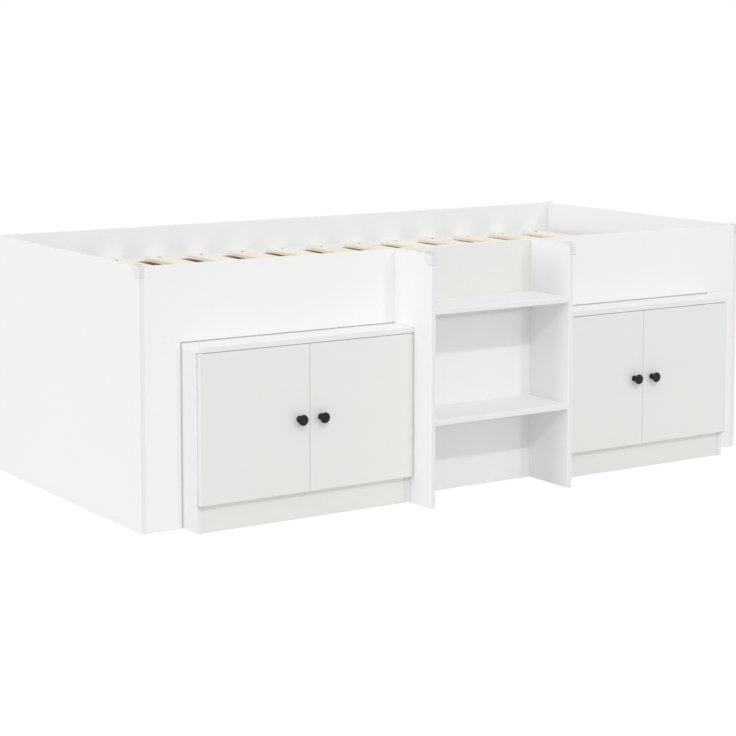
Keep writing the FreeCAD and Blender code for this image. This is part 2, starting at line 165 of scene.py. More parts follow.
# %% [markdown]
# The picture is a studio shot on white. Its shadows tell where the lamps stood: one band under each shelf falls far
# down the panel behind and slants across the right hand board, so the main lamp is high and to the left of the front;
# a short band and a narrow upright strip on the right come from a second lamp, low and a little to the right. The left
# sides are as bright as the front, which takes a third one, low on the left and so wide that its shadows are soft. A
# white world fills the rest. What the camera, a gloss or clear plastic sees of it is plain white, while the strength
# that lights the bed is set apart.

# %% World and lamps
DOME_STRENGTH = 0.77
MAIN_LAMP = {"towards": (0.42, 1.0, -0.80), "energy": 0.65, "angle": math.radians(2.5)}
LOW_LAMP = {"towards": (-0.19, 1.0, -0.263), "energy": 0.25, "angle": math.radians(3)}
LEFT_LIGHT = {"towards": (1.0, 0.05, -0.11), "energy": 0.62, "angle": math.radians(14)}

world = bpy.data.worlds.new("studio")
world.use_nodes = True
sky = world.node_tree
sky.nodes.clear()
dome = put(sky, "ShaderNodeBackground", {"Color": (1, 1, 1, 1), "Strength": DOME_STRENGTH})
backdrop = put(sky, "ShaderNodeBackground", {"Color": (1, 1, 1, 1), "Strength": 1.0})
both = put(sky, "ShaderNodeMixShader", {0: seen_directly(sky), 1: dome.outputs[0], 2: backdrop.outputs[0]})
put(sky, "ShaderNodeOutputWorld", {"Surface": both.outputs[0]})
bpy.context.scene.world = world


def far_lamp(name, towards, energy, angle):
    """A lamp so far off that its light travels in one direction. angle is how wide it looks from the bed."""
    light = bpy.data.lights.new(name, "SUN")
    light.energy, light.angle = energy, angle
    holder = bpy.data.objects.new(name, light)
    x, y, z = towards
    holder.rotation_euler = (math.atan2(math.hypot(x, y), -z), 0, math.atan2(y, x) - math.pi / 2)
    bpy.context.scene.collection.objects.link(holder)


far_lamp("main_lamp", **MAIN_LAMP)
far_lamp("low_lamp", **LOW_LAMP)
far_lamp("left_light", **LEFT_LIGHT)

# %% [markdown]
# The floor is a large pale sheet. To the camera it is mostly its own white, so that it runs into the white behind it,
# and the rest of it takes light as paper does, which keeps the bed's soft shadow on it.

# %% Floor
FLOOR_HALF = 30.0
FLOOR_DROP = 0.0005
FLOOR_WHITE_SHARE = 0.75
FLOOR_WHITE = 1.13
PAPER_DARK, PAPER_LIGHT = (0.77, 0.77, 0.77, 1), (0.79, 0.79, 0.79, 1)

floor_mesh = bpy.data.meshes.new("floor")
corners = np.array([(-1, -1), (1, -1), (1, 1), (-1, 1)]) * FLOOR_HALF
floor_mesh.from_pydata([(x, y, -FLOOR_DROP) for x, y in corners], [], [(0, 1, 2, 3)])
floor = bpy.data.objects.new("floor", floor_mesh)
bpy.context.scene.collection.objects.link(floor)
floor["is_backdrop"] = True

paper = bpy.data.materials.new("floor_paper")
paper.use_nodes = True
tree = paper.node_tree
tree.nodes.clear()
place = put(tree, "ShaderNodeTexCoord").outputs["Object"]
fibre = put(tree, "ShaderNodeTexNoise", {"Vector": place, "Scale": 40.0, "Detail": 3.0}).outputs["Fac"]
matt = put(tree, "ShaderNodeBsdfDiffuse", {"Color": mixed(tree, fibre, PAPER_DARK, PAPER_LIGHT)})
white = put(tree, "ShaderNodeEmission", {"Color": (1, 1, 1, 1), "Strength": FLOOR_WHITE})
share = math_of(tree, "MULTIPLY", seen_directly(tree), FLOOR_WHITE_SHARE)
both = put(tree, "ShaderNodeMixShader", {0: share, 1: matt.outputs[0], 2: white.outputs[0]})
put(tree, "ShaderNodeOutputMaterial", {"Surface": both.outputs[0]})
floor_mesh.materials.append(paper)
print("floor", 2 * FLOOR_HALF, "metres wide")

# %% [markdown]
# Melamine board and moulded plastic have the same kind of skin: a colour that is almost even, faint clouds in it, and a
# fine pearl that breaks up the gloss. One group makes that skin from three sizes of noise. Each finish places it with
# its own grain, cloud and roughness.

# %% Skin of boards and plastics
WIDE_SHARE, MIDDLE_SHARE = 0.65, 0.35
SKIN_BUMP = 0.6


def make_skin_group():
    """Colour times a cloud of noise; roughness shifted by finer noise; height from the finest, the pearl."""
    group, given, out = node_group(
        "fine_skin",
        {"Vector": ("Vector", (0, 0, 0)), "Colour": ("Color", (0.8, 0.8, 0.8, 1)), "Grain": ("Float", 900.0),
         "Cloud": ("Float", 0.01), "Roughness": ("Float", 0.4), "Unevenness": ("Float", 0.05)},
        {"Colour": "Color", "Roughness": "Float", "Height": "Float"})
    vector = given["Vector"]
    wide = put(group, "ShaderNodeTexNoise", {"Vector": vector, "Scale": 2.3, "Detail": 2.0}).outputs["Fac"]
    middle = put(group, "ShaderNodeTexNoise", {"Vector": vector, "Scale": 55.0, "Detail": 4.0}).outputs["Fac"]
    pearl = put(group, "ShaderNodeTexNoise", {"Vector": vector, "Scale": given["Grain"], "Detail": 2.0}).outputs["Fac"]
    clouds = math_of(group, "MULTIPLY_ADD", wide, WIDE_SHARE, math_of(group, "MULTIPLY", middle, MIDDLE_SHARE))
    tone = math_of(group, "MULTIPLY_ADD", math_of(group, "SUBTRACT", clouds, 0.5), given["Cloud"], 1.0)
    colour = scaled(group, given["Colour"], tone)
    uneven = math_of(group, "MULTIPLY_ADD", math_of(group, "SUBTRACT", middle, 0.5), given["Unevenness"],
                     given["Roughness"])
    for socket, value in (("Colour", colour), ("Roughness", uneven), ("Height", pearl)):
        group.links.new(value, out.inputs[socket])
    return group


skin_group = make_skin_group()
print("group", skin_group.name)


def skin_material(name, colour, roughness, grain, cloud, unevenness, depth, gloss=0.5):
    """Principled finish on the skin group. depth is the pearl's height in metres."""
    material = bpy.data.materials.new(name)
    material.use_nodes = True
    tree = material.node_tree
    surface = tree.nodes["Principled BSDF"]
    place = put(tree, "ShaderNodeTexCoord").outputs["Object"]
    skin = put(tree, "ShaderNodeGroup", node_tree=skin_group)
    tree.links.new(place, skin.inputs["Vector"])
    for socket, value in (("Colour", (*colour, 1)), ("Grain", grain), ("Cloud", cloud), ("Roughness", roughness),
                          ("Unevenness", unevenness)):
        skin.inputs[socket].default_value = value
    bump = put(tree, "ShaderNodeBump", {"Height": skin.outputs["Height"], "Strength": SKIN_BUMP, "Distance": depth})
    tree.links.new(skin.outputs["Colour"], surface.inputs["Base Color"])
    tree.links.new(skin.outputs["Roughness"], surface.inputs["Roughness"])
    tree.links.new(bump.outputs["Normal"], surface.inputs["Normal"])
    surface.inputs["Specular IOR Level"].default_value = gloss
    return material


def dress(names, material):
    """Give model nodes a finish."""
    for name in names:
        mesh = nodes[name].data
        mesh.materials.clear()
        mesh.materials.append(material)


# %% [markdown]
# A board isn't the same all over. The raw edges of boards are closed by a glued band. A board whose edge faces the
# front
# gets the band there: where the surface looks straight forward the finish is toned down. Where it lies flat on top it
# is made a little paler, as painted light from above. Other boards change colour where a test says so. The test looks
# at the place on the board and at the direction that its surface faces, and gives 1 or 0.

# %% Tones by place and direction
FACES = 0.9
BAND_TONE = 0.93
# painted light: how much paler the surfaces that face up are made, as if lit from above
TOP_PAINTED_LIGHT = 1.05
NICHE_HALF = 0.2325
EDGE_REACH = 0.01
doors_meet = (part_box("right_cabinet_left_door")[1].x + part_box("right_cabinet_right_door")[0].x) / 2
doors_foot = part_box("right_cabinet_left_door")[0].z
bed_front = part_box("front_rail")[0].y
print("doors meet at", round(doors_meet, 4), "bed's front at", round(bed_front, 4))


def banded(material):
    """Tone the finish down where the surface faces -Y, the banded edge of a board, and up where it faces +Z as painted
    light.
    """
    tree = material.node_tree
    surface = tree.nodes["Principled BSDF"]
    facing = put(tree, "ShaderNodeSeparateXYZ", {0: put(tree, "ShaderNodeTexCoord").outputs["Normal"]}).outputs
    band = math_of(tree, "LESS_THAN", facing["Y"], -FACES)
    # painted light: surfaces that face up are made paler
    top = math_of(tree, "GREATER_THAN", facing["Z"], FACES)
    tone = math_of(tree, "MULTIPLY_ADD", band, BAND_TONE - 1, 1.0)
    tone = math_of(tree, "MULTIPLY_ADD", top, TOP_PAINTED_LIGHT - 1, tone)
    colour = surface.inputs["Base Color"].links[0].from_socket
    tree.links.new(scaled(tree, colour, tone), surface.inputs["Base Color"])
    return material


def toned_where(material, colour, test):
    """Change the finish to another colour where a test on the place and on the way the surface faces gives 1."""
    tree = material.node_tree
    surface = tree.nodes["Principled BSDF"]
    coordinates = put(tree, "ShaderNodeTexCoord").outputs
    place = put(tree, "ShaderNodeSeparateXYZ", {0: coordinates["Object"]}).outputs
    facing = put(tree, "ShaderNodeSeparateXYZ", {0: coordinates["Normal"]}).outputs
    finish = surface.inputs["Base Color"].links[0].from_socket
    tree.links.new(mixed(tree, test(tree, place, facing), finish, (*colour, 1)), surface.inputs["Base Color"])
    return material


def in_niche(tree, place, facing):
    """1 on a front face between the sides of the step shelf, where shade is painted on the rail."""
    inside = math_of(tree, "LESS_THAN", math_of(tree, "ABSOLUTE", place["X"]), NICHE_HALF)
    return math_of(tree, "MULTIPLY", inside, math_of(tree, "LESS_THAN", facing["Y"], -FACES))


def inside_door(tree, place, facing):
    """1 on the back of a door and on its edge near the line where two doors meet, made whiter partly as painted light.
    """
    near = math_of(tree, "COMPARE", math_of(tree, "ABSOLUTE", place["X"]), doors_meet, EDGE_REACH)
    sideways = math_of(tree, "GREATER_THAN", math_of(tree, "ABSOLUTE", facing["X"]), FACES)
    back = math_of(tree, "GREATER_THAN", facing["Y"], FACES)
    return math_of(tree, "MAXIMUM", math_of(tree, "MULTIPLY", near, sideways), back)


def behind_cover(tree, place, facing):
    """1 on a cabinet's side where it runs past the stile, and on its front edge behind a door, made whiter partly as
    painted light.
    """
    past = math_of(tree, "GREATER_THAN", place["Y"], bed_front)
    front = math_of(tree, "LESS_THAN", facing["Y"], -FACES)
    covered = math_of(tree, "GREATER_THAN", place["Z"], doors_foot)
    return math_of(tree, "MAXIMUM", past, math_of(tree, "MULTIPLY", front, covered))


# %% [markdown]
# Nearly all of the bed is white melamine board. The cabinets' fronts are a shade greyer than the frame, as from another
# batch of board, and their sides lie between the two. Between the sides of the step shelf the front rail is given the
# grey of the doors, as painted shade where the shelf's sides keep light off it. The doors are a brighter white behind
# and on the edges where two doors meet, and so are the hidden stretches of the cabinets' sides and their front edges
# behind the doors: partly a whiter inside, partly painted light. The narrow gaps between boards show a sliver of them,
# and the whiter it is, the fainter is the dark line of shade in the gap.

# %% White boards
FRAME_SKIN = {"colour": (0.872, 0.872, 0.866), "roughness": 0.42, "grain": 1100.0, "cloud": 0.02, "unevenness": 0.10,
              "depth": 0.00003, "gloss": 0.35}
CABINET_SKIN = {**FRAME_SKIN, "colour": (0.790, 0.800, 0.774)}
SIDE_SKIN = {**FRAME_SKIN, "colour": (0.812, 0.812, 0.812)}
# painted shade: the grey of the front rail inside the step shelf's niche
NICHE_PAINTED_SHADE = (0.790, 0.797, 0.774)
# partly a whiter inside, partly painted light that makes the shaded gaps between boards look fainter
HIDDEN_WHITE_AND_GAP_LIGHT = (0.93, 0.93, 0.925)
frame_white = skin_material("frame_white", **FRAME_SKIN)
# banded boards, with painted light on their tops
frame_banded_lit_tops = banded(skin_material("frame_white_banded_lit_tops", **FRAME_SKIN))
cabinet_white = skin_material("cabinet_white", **CABINET_SKIN)
# whiter hidden faces beside the gaps, partly painted light
cabinet_side_white = toned_where(skin_material("cabinet_side_white", **SIDE_SKIN), HIDDEN_WHITE_AND_GAP_LIGHT, behind_cover)
door_white = toned_where(skin_material("door_white", **CABINET_SKIN), HIDDEN_WHITE_AND_GAP_LIGHT, inside_door)
# painted shade on the rail between the shelf's sides
front_rail_white = toned_where(skin_material("front_rail_white", **FRAME_SKIN), NICHE_PAINTED_SHADE, in_niche)

boards_of = {
    frame_white: ("rear_rail", "_stile", "_leg", "_centre_panel"),
    front_rail_white: ("front_rail",),
    frame_banded_lit_tops: ("_end_panel", "shelf_left_side", "shelf_right_side", "upper_shelf", "lower_shelf", "_cabinet_top"),
    cabinet_white: ("_plinth", "_bottom", "_cabinet_shelf"),
    door_white: ("_door",),
    cabinet_side_white: ("_cabinet_left_side", "_cabinet_right_side")}
for material, endings in boards_of.items():
    names = sorted(name for name in nodes if name.endswith(endings))
    dress(names, material)
    print(material.name, "on", len(names), "boards")

# %% [markdown]
# The thin back of each cabinet is hardboard: white on the side that shows inside, raw brown fibre behind and on its
# edges. The side is told by the depth inside the sheet.

# %% Cabinet backs
BACK_WHITE_SKIN = 0.0003
HARDBOARD_SKIN = {"colour": (0.80, 0.80, 0.79), "roughness": 0.5, "grain": 900.0, "cloud": 0.03, "unevenness": 0.10,
                  "depth": 0.00004, "gloss": 0.3}
FIBRE_DARK, FIBRE_LIGHT, FIBRE_BLOTCH = (0.17, 0.105, 0.055, 1), (0.34, 0.225, 0.13, 1), (0.26, 0.165, 0.09, 1)
BLOTCH_SHARE = 0.5


def hardboard_material(name, front_face):
    """White in front of a depth, matted brown fibre behind it."""
    material = skin_material(name, **HARDBOARD_SKIN)
    tree = material.node_tree
    surface = tree.nodes["Principled BSDF"]
    place = next(n for n in tree.nodes if n.type == "TEX_COORD").outputs["Object"]
    lacquer = surface.inputs["Base Color"].links[0].from_socket
    threads = put(tree, "ShaderNodeTexNoise", {"Vector": place, "Scale": 160.0, "Detail": 6.0, "Distortion": 1.5})
    blotch = put(tree, "ShaderNodeTexNoise", {"Vector": place, "Scale": 9.0, "Detail": 3.0}).outputs["Fac"]
    fibres = mixed(tree, threads.outputs["Fac"], FIBRE_DARK, FIBRE_LIGHT)
    raw = mixed(tree, spread(tree, blotch, 0.0, BLOTCH_SHARE), fibres, FIBRE_BLOTCH)
    depth = put(tree, "ShaderNodeSeparateXYZ", {0: place}).outputs["Y"]
    behind = math_of(tree, "GREATER_THAN", depth, front_face + BACK_WHITE_SKIN)
    tree.links.new(mixed(tree, behind, lacquer, raw), surface.inputs["Base Color"])
    return material


backs = sorted(name for name in nodes if name.endswith("_cabinet_back"))
back_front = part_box(backs[0])[0].y
dress(backs, hardboard_material("hardboard", back_front))
print("backs", backs, "front face at", round(back_front, 4))

# %% [markdown]
# Pine is rings round a pith, cut lengthwise. The group measures the distance to a pith that runs along the piece, bends
# it with slow noise, and turns it into bands: pale early wood that darkens into a thin line of late wood. Knots push
# the rings aside. A number for each board moves it to another place in the log, so that no two are alike.

# %% Pine grain
BOARD_SHIFT = (0.05, 7.0, 0.03)  # how far a board can lie from another in the log, in metres
BEND_STRETCH, KNOT_STRETCH, FIBRE_STRETCH = (14.0, 1.6, 14.0), (9.0, 2.6, 9.0), (620.0, 14.0, 620.0)
PITH_OFFSET, PITH_SQUEEZE = (0.03, 0.0, 0.045), (1.0, 0.02, 1.0)
RING_BEND, KNOT_PUSH = 0.016, 0.012  # how far noise and knots move a ring, in metres
KNOT_BAR, KNOT_DARKNESS = 0.62, 0.85  # a cell whose lot lies above the bar has a knot
KNOT_NEAR, KNOT_CORE = (0.03, 0.32), (0.045, 0.085)  # distances over which a knot's push and its colour fade
LATE_START, LATE_END = 0.35, 0.93  # shares of a ring
LATE_SHARE, LATE_GLOSS, EARLY_ROUGHNESS = 0.62, -0.10, 0.62
LATE_RELIEF, FIBRE_RELIEF = 0.6, 0.4
FIBRE_TONES, BOARD_TONES = (0.93, 1.06), (0.93, 1.03)


def make_pine_group():
    """Bands of the distance to the pith, spaced evenly, each rising slowly to dark and falling at once, and knots."""
    group, given, out = node_group(
        "pine_grain",
        {"Vector": ("Vector", (0, 0, 0)), "Board": ("Float", 0.0), "Spacing": ("Float", 0.004),
         "Early": ("Color", (0.8, 0.66, 0.45, 1)), "Late": ("Color", (0.62, 0.42, 0.22, 1)),
         "Knot": ("Color", (0.22, 0.11, 0.05, 1))},
        {"Colour": "Color", "Roughness": "Float", "Height": "Float"})

    def vector_math(operation, *values):
        """Output of a Vector Math node."""
        return put(group, "ShaderNodeVectorMath", dict(enumerate(values)), operation=operation).outputs[0]

    def ramp(value, start, end, low, high, kind="SMOOTHSTEP"):
        """A value that goes from low to high while another goes from start to end."""
        ends = {"Value": value, "From Min": start, "From Max": end, "To Min": low, "To Max": high}
        return put(group, "ShaderNodeMapRange", ends, interpolation_type=kind).outputs[0]

    def noise(vector, detail):
        """Soft noise at a place."""
        return put(group, "ShaderNodeTexNoise", {"Vector": vector, "Scale": 1.0, "Detail": detail}).outputs["Fac"]

    chance = put(group, "ShaderNodeTexWhiteNoise", {"W": given["Board"]}, noise_dimensions="1D").outputs["Color"]
    moved = vector_math("MULTIPLY_ADD", chance, BOARD_SHIFT, given["Vector"])
    bend = noise(vector_math("MULTIPLY", moved, BEND_STRETCH), detail=2.0)
    knot_place = vector_math("MULTIPLY", moved, KNOT_STRETCH)
    cells = put(group, "ShaderNodeTexVoronoi", {"Vector": knot_place, "Scale": 1.0}, feature="F1").outputs
    lot = put(group, "ShaderNodeSeparateColor", {0: cells["Color"]}).outputs[0]
    knotty = math_of(group, "GREATER_THAN", lot, KNOT_BAR)
    nearness = math_of(group, "MULTIPLY", knotty, ramp(cells["Distance"], *KNOT_NEAR, 1.0, 0.0))
    core = math_of(group, "MULTIPLY", knotty, ramp(cells["Distance"], *KNOT_CORE, 1.0, 0.0))
    across = vector_math("MULTIPLY", vector_math("ADD", moved, PITH_OFFSET), PITH_SQUEEZE)
    radius = put(group, "ShaderNodeVectorMath", {0: across}, operation="LENGTH").outputs["Value"]
    radius = math_of(group, "MULTIPLY_ADD", bend, RING_BEND, radius)
    radius = math_of(group, "MULTIPLY_ADD", nearness, KNOT_PUSH, radius)
    ring = math_of(group, "FRACT", math_of(group, "DIVIDE", radius, given["Spacing"]))
    rising, falling = ramp(ring, LATE_START, LATE_END, 0.0, 1.0), ramp(ring, LATE_END, 1.0, 1.0, 0.0, "LINEAR")
    late = math_of(group, "MULTIPLY", rising, falling)
    fibres = noise(vector_math("MULTIPLY", moved, FIBRE_STRETCH), detail=3.0)
    wood = mixed(group, math_of(group, "MULTIPLY", late, LATE_SHARE), given["Early"], given["Late"])
    wood = scaled(group, wood, spread(group, fibres, *FIBRE_TONES))
    board_tone = put(group, "ShaderNodeSeparateColor", {0: chance}).outputs[1]
    wood = scaled(group, wood, spread(group, board_tone, *BOARD_TONES))
    colour = mixed(group, math_of(group, "MULTIPLY", core, KNOT_DARKNESS), wood, given["Knot"])
    rough = math_of(group, "MULTIPLY_ADD", late, LATE_GLOSS, EARLY_ROUGHNESS)
    height = math_of(group, "MULTIPLY_ADD", late, LATE_RELIEF, math_of(group, "MULTIPLY", fibres, FIBRE_RELIEF))
    for socket, value in (("Colour", colour), ("Roughness", rough), ("Height", height)):
        group.links.new(value, out.inputs[socket])
    return group


pine_group = make_pine_group()
print("group", pine_group.name)

# %% [markdown]
# The slats are pale and the battens below them are darker: partly a darker wood, partly painted shade, which makes
# the gaps between the slats look dark. To light that goes on to other boards both are nearly white, so that they
# brighten the rails without tinting them.

# %% Slats and battens
GLOW_COLOUR = (0.93, 0.95, 0.95)
GLOW_SHARE = 0.85
PINE_BUMP = {"Strength": 0.5, "Distance": 0.0002}
PINE_GLOSS = 0.3


def pine_material(name, turn, board_of, early, late):
    """Pine whose grain runs along Y once the place is turned about Z. board_of makes a board's number from a place."""
    material = bpy.data.materials.new(name)
    material.use_nodes = True
    tree = material.node_tree
    surface = tree.nodes["Principled BSDF"]
    place = put(tree, "ShaderNodeTexCoord").outputs["Object"]
    along_grain = put(tree, "ShaderNodeMapping", {"Vector": place, "Rotation": (0, 0, turn)}).outputs[0]
    pine = put(tree, "ShaderNodeGroup", node_tree=pine_group)
    tree.links.new(along_grain, pine.inputs["Vector"])
    tree.links.new(board_of(tree, put(tree, "ShaderNodeSeparateXYZ", {0: place}).outputs), pine.inputs["Board"])
    pine.inputs["Early"].default_value = (*early, 1)
    pine.inputs["Late"].default_value = (*late, 1)
    bump = put(tree, "ShaderNodeBump", {"Height": pine.outputs["Height"], **PINE_BUMP})
    glow = math_of(tree, "MULTIPLY", put(tree, "ShaderNodeLightPath").outputs["Is Diffuse Ray"], GLOW_SHARE)
    tree.links.new(mixed(tree, glow, pine.outputs["Colour"], (*GLOW_COLOUR, 1)), surface.inputs["Base Color"])
    tree.links.new(pine.outputs["Roughness"], surface.inputs["Roughness"])
    tree.links.new(bump.outputs["Normal"], surface.inputs["Normal"])
    surface.inputs["Specular IOR Level"].default_value = PINE_GLOSS
    return material


SLAT_COUNT = 14
FRONT_BATTEN, REAR_BATTEN = 40.0, 43.0
slat_low, slat_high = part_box("slats")
inner_half = (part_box("front_rail")[1].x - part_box("front_rail")[0].x) / 2
slat_pitch = 2 * inner_half / SLAT_COUNT


def slat_number(tree, place):
    """Which slat a place belongs to: its distance from the left end in slat pitches, rounded down."""
    return math_of(tree, "FLOOR", math_of(tree, "DIVIDE", math_of(tree, "ADD", place["X"], inner_half), slat_pitch))


def batten_number(tree, place):
    """A number for the front batten and another for the rear one, by the side of the bed they lie on."""
    behind = math_of(tree, "GREATER_THAN", place["Y"], 0.0)
    return math_of(tree, "MULTIPLY_ADD", behind, REAR_BATTEN - FRONT_BATTEN, FRONT_BATTEN)


PINE_TONES = {"early": (0.955, 0.925, 0.825), "late": (0.89, 0.775, 0.565)}
# partly a darker wood, partly painted shade for the dark notches between the slats
BATTEN_WOOD_AND_SHADE_TONES = {"early": (0.38, 0.285, 0.175), "late": (0.28, 0.195, 0.105)}
dress(["slats"], pine_material("pine_slats", 0.0, slat_number, **PINE_TONES))
dress(["front_batten", "rear_batten"], pine_material("pine_battens", math.pi / 2, batten_number, **BATTEN_WOOD_AND_SHADE_TONES))
print("slat pitch", round(slat_pitch, 4))

# %% [markdown]
# Knobs, bushes and catches are moulded plastic. The knobs are matt black with a little sheen on their rims, the bushes
# are natural nylon and the catches white.

# %% Plastics
KNOB_SKIN = {"colour": (0.013, 0.013, 0.0125), "roughness": 0.42, "grain": 2600.0, "cloud": 0.25, "unevenness": 0.16,
             "depth": 0.00003, "gloss": 0.22}
NYLON_SKIN = {"colour": (0.74, 0.73, 0.69), "roughness": 0.38, "grain": 1500.0, "cloud": 0.06, "unevenness": 0.12,
              "depth": 0.00002}
CATCH_SKIN = {"colour": (0.72, 0.72, 0.70), "roughness": 0.45, "grain": 1800.0, "cloud": 0.05, "unevenness": 0.12,
              "depth": 0.00003}

knob_black = skin_material("knob_matt_black", **KNOB_SKIN)
nylon = skin_material("bush_nylon", **NYLON_SKIN)
catch_white = skin_material("catch_moulded_white", **CATCH_SKIN)
dress([name for name in nodes if name.endswith("_pivot_bushes")], nylon)
dress(["magnetic_catches"], catch_white)
print("plastics", [material.name for material in (knob_black, nylon, catch_white)])

# %% [markdown]
# The corner guards are clear glossy plastic. Seen straight on they let the board show through, with only a faint gloss
# and small waves in it, as on a moulded cap. Seen at a slant they turn grey, as the rims of clear plastic do.

# %% Clear guards
GUARD_SKIN = {"colour": (0.26, 0.27, 0.28), "roughness": 0.10, "grain": 45.0, "cloud": 0.03, "unevenness": 0.05,
              "depth": 0.00005, "gloss": 0.3}
GUARD_FILM = {"From Min": 0.66, "To Min": 0.02, "To Max": 0.95}

clear_plastic = skin_material("guard_clear", **GUARD_SKIN)
tree = clear_plastic.node_tree
slant = put(tree, "ShaderNodeLayerWeight", {"Blend": 0.5}).outputs["Facing"]
film = put(tree, "ShaderNodeMapRange", {"Value": slant, **GUARD_FILM})
tree.links.new(film.outputs["Result"], tree.nodes["Principled BSDF"].inputs["Alpha"])
dress(["bed_corner_guards", "shelf_corner_guards"], clear_plastic)
print(clear_plastic.name, "lets through", 1 - GUARD_FILM["To Min"], "of the light seen straight on")

# %% [markdown]
# Brackets and strike plates are zinc plated steel, rolled and barrelled: fine lines along the strip and cloudy spangle
# over it. The screws share that finish, and the slat screws a black one.

# %% Metals
METAL_SKIN = {"grain": 1500.0, "cloud": 0.22, "unevenness": 0.14, "depth": 0.00002}
ALONG_STRIP, ALL_WAYS = (1800.0, 1800.0, 60.0), (900.0, 900.0, 900.0)


def metal_material(name, colour, roughness, line_direction):
    """Steel with rolled lines. line_direction scales the place so that the noise is drawn out along the strip."""
    material = skin_material(name, colour, roughness, **METAL_SKIN)
    tree = material.node_tree
    surface = tree.nodes["Principled BSDF"]
    place = next(n for n in tree.nodes if n.type == "TEX_COORD").outputs["Object"]
    lines = put(tree, "ShaderNodeVectorMath", {0: place, 1: line_direction}, operation="MULTIPLY").outputs[0]
    rolled = put(tree, "ShaderNodeTexNoise", {"Vector": lines, "Scale": 1.0, "Detail": 2.0}).outputs["Fac"]
    bump = next(n for n in tree.nodes if n.type == "BUMP")
    tree.links.new(rolled, bump.inputs["Height"])
    surface.inputs["Metallic"].default_value = 1.0
    return material


zinc = metal_material("zinc_steel", colour=(0.62, 0.62, 0.63), roughness=0.34, line_direction=ALONG_STRIP)
black_steel = metal_material("black_steel", colour=(0.045, 0.043, 0.042), roughness=0.42, line_direction=ALL_WAYS)
dress(["pivot_brackets"] + [name for name in nodes if name.endswith("_strike_plate")], zinc)
print("finishes", sorted(m.name for m in bpy.data.materials))

# %% [markdown]
# New pieces are surfaces on a grid of two parameters. Each of these is a stack of rings round an axis, from a pole at
# one end to a pole at the other, so it is closed. The helper below joins the rings by quads and the poles by fans of
# triangles, lets several copies share one mesh, and measures the volume inside, which is positive if every face points
# outwards.


# %% Helper for new pieces
def ring_faces(rings, steps, copies):
    """Quads between neighbouring rings and a fan at each pole. Points run pole, rings, pole, copy after copy."""
    row, column = np.meshgrid(np.arange(rings - 1), np.arange(steps), indexing="ij")
    following = (column + 1) % steps
    quads = 1 + np.stack([row * steps + column, row * steps + following, (row + 1) * steps + following,
                          (row + 1) * steps + column], -1).reshape(-1, 4)
    first = 1 + np.arange(steps)
    last = first + (rings - 1) * steps
    fans = np.concatenate([
        np.stack([np.zeros(steps, int), np.roll(first, -1), first], -1),
        np.stack([np.full(steps, rings * steps + 1), last, np.roll(last, -1)], -1)])
    offsets = np.arange(copies)[:, None, None] * (rings * steps + 2)
    return (quads + offsets).reshape(-1, 4), (fans + offsets).reshape(-1, 3)


def volume_inside(points, quads, fans):
    """Sum over triangles of one sixth of the triple product of their corners."""
    triangles = points[np.concatenate([quads[:, :3], quads[:, [0, 2, 3]], fans])]
    return np.einsum("ij,ij->i", triangles[:, 0], np.cross(triangles[:, 1], triangles[:, 2])).sum() / 6


def ringed_piece(name, poles, rings, material, body, slot, *replaced):
    """Closed smooth mesh from arrays of rings (copy, ring, step, xyz) and poles (copy, end, xyz), riding on a body. It
    stands for the model nodes that are named last."""
    copies, count, steps = rings.shape[:3]
    points = np.concatenate([poles[:, :1], rings.reshape(copies, -1, 3), poles[:, 1:]], 1).reshape(-1, 3)
    quads, fans = ring_faces(count, steps, copies)
    mesh = bpy.data.meshes.new(name)
    mesh.from_pydata(points.tolist(), [], quads.tolist() + fans.tolist())
    mesh.polygons.foreach_set("use_smooth", np.ones(len(quads) + len(fans), bool))
    mesh.materials.append(material)
    mesh.update()
    thing = bpy.data.objects.new(name, mesh)
    bpy.context.scene.collection.objects.link(thing)
    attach(thing, body)
    if replaced:
        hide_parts(*replaced)
    print(name, "copies", copies, "cubic millimetres", round(volume_inside(points, quads, fans) * 1e9, 2))


# %% [markdown]
# The knob is a mushroom: a small foot on the door, a waist, and a wide cap with a softly rounded rim and a slightly
# domed face. Its profile is a short list of radii and heights joined by a smooth curve, turned round the knob's axis.
# The model's knob has plain steps, so this one stands for it.

# %% Knobs
KNOB_PROFILE = np.array([  # radius and height above the door, in millimetres
    (0.0, 0.0), (8.2, 0.0), (8.5, 0.3), (8.5, 1.4), (8.0, 2.2), (6.6, 3.6), (5.7, 6.0), (5.6, 9.5), (6.2, 13.0),
    (8.0, 15.8), (11.0, 17.4), (13.4, 18.6), (14.4, 20.2), (14.5, 21.8), (13.9, 23.2), (12.4, 24.2), (9.0, 24.7),
    (4.5, 24.95), (0.0, 25.0)]) / 1000
PROFILE_STEPS = 4
ROUND_STEPS = 72


def smooth_profile(corners, steps):
    """A curve through corners: on each stretch a cubic whose slope at either end is half the span of the neighbours."""
    padded = np.vstack([corners[:1], corners, corners[-1:]])
    start, end = corners[:-1, None], corners[1:, None]
    slope_start = (padded[2:-1] - padded[:-3])[:, None] / 2
    slope_end = (padded[3:] - padded[1:-2])[:, None] / 2
    t = np.linspace(0, 1, steps, endpoint=False)[None, :, None]
    curve = (start * (2 * t**3 - 3 * t**2 + 1) + slope_start * (t**3 - 2 * t**2 + t)
             + end * (3 * t**2 - 2 * t**3) + slope_end * (t**3 - t**2)).reshape(-1, 2)
    curve = np.vstack([curve, corners[-1:]])
    curve[:, 0] = np.maximum(curve[:, 0], 0)
    return curve


def set_out(shape, places, facing):
    """A shape drawn with its height along +Z, turned to face +Z, -Y or +Y and copied to each place."""
    turn = {"+Z": np.eye(3), "-Y": np.array([(1, 0, 0), (0, 0, -1), (0, 1, 0)]),
            "+Y": np.array([(-1, 0, 0), (0, 0, 1), (0, 1, 0)])}[facing]
    places = np.asarray(places, float)
    return places.reshape(len(places), *[1] * (shape.ndim - 1), 3) + shape @ turn.T


